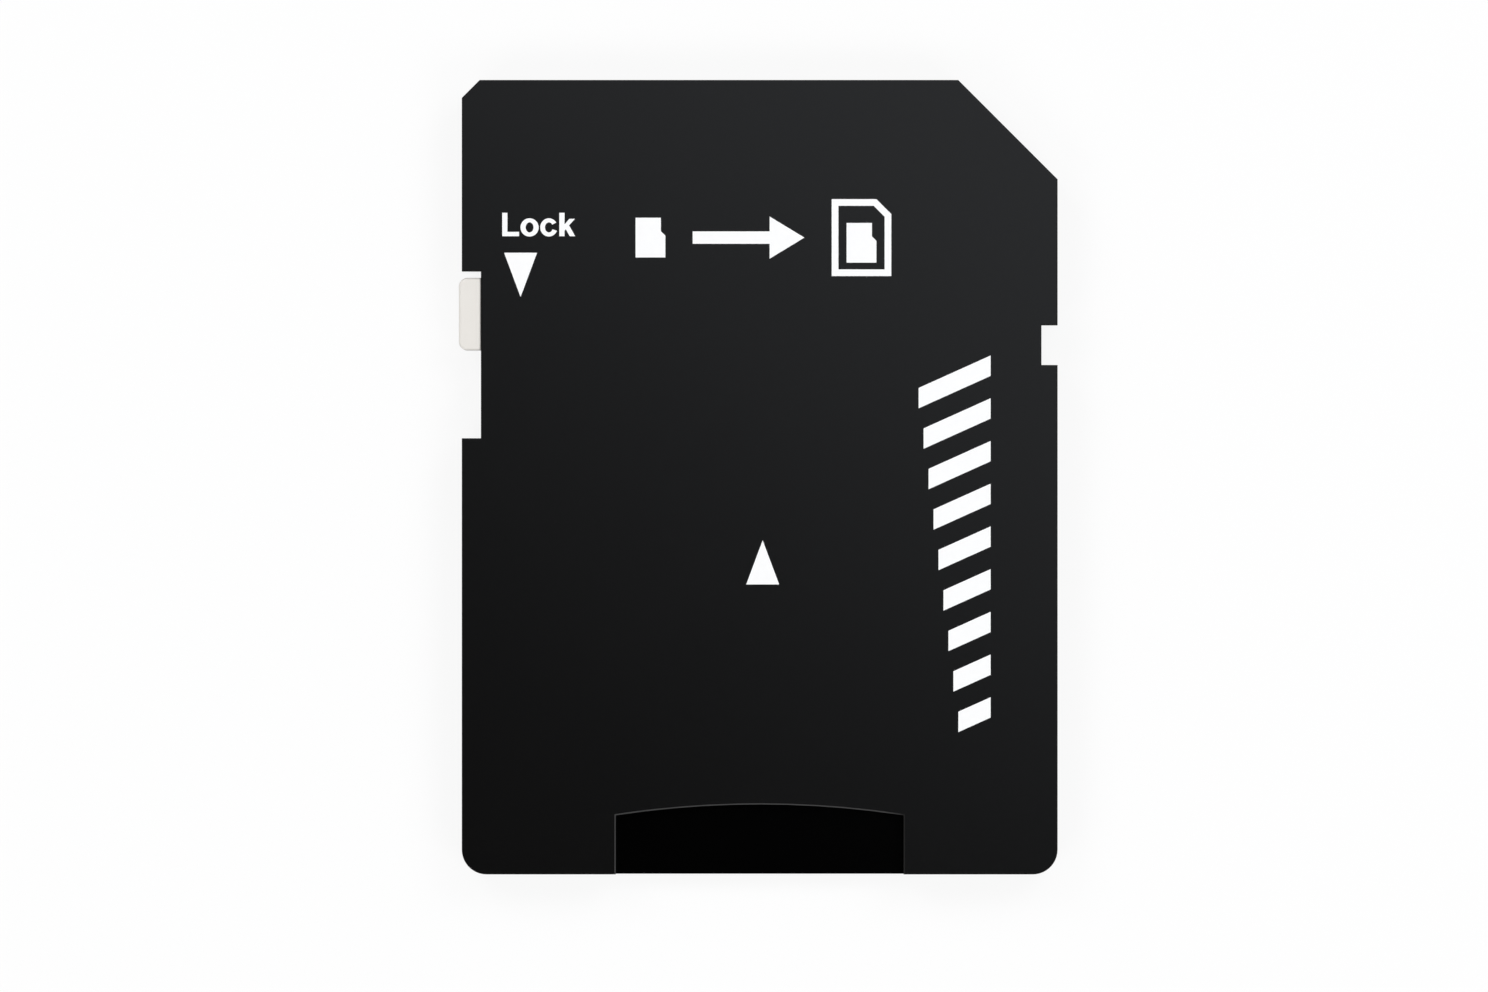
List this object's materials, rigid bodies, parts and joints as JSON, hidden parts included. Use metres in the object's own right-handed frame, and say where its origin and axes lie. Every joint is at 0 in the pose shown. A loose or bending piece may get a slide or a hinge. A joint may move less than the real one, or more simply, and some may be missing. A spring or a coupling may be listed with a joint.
{
  "type": "memory card adapter",
  "caption": "Flat memory card adapter with a cut key corner, side rails, a sliding write lock, contact windows in its back and a tail slot that takes a smaller card.",
  "frame": {"origin": "middle of the flat back face, which the adapter lies on", "axes": "+Y from the tail with the slot to the contact end, +X across the card to the side with the cut key corner, +Z from the back face up to the printed front face"},
  "size_m": [0.0241, 0.032, 0.0021],
  "materials": {
    "housing_black": "satin",
    "carrier_black": "matte",
    "contact_gold": "polished",
    "spring_steel": "satin",
    "lock_white": "satin",
    "print_white": "matte"
  },
  "bodies": {
    "housing": {"front_shell": "housing_black", "rear_shell": "housing_black", "terminal_carrier": "carrier_black", "card_spring": "spring_steel", "terminal_data_2": "contact_gold", "terminal_data_3": "contact_gold", "terminal_command": "contact_gold", "terminal_supply": "contact_gold", "terminal_clock": "contact_gold", "terminal_ground": "contact_gold", "terminal_data_0": "contact_gold", "terminal_data_1": "contact_gold"},
    "lock": {"lock_slider": "lock_white"}
  },
  "joints": [
    {"name": "lock_slide", "type": "slide", "parent": "housing", "child": "lock", "axis": [0, -1, 0], "range_m": [0, 0.00328]}
  ]
}
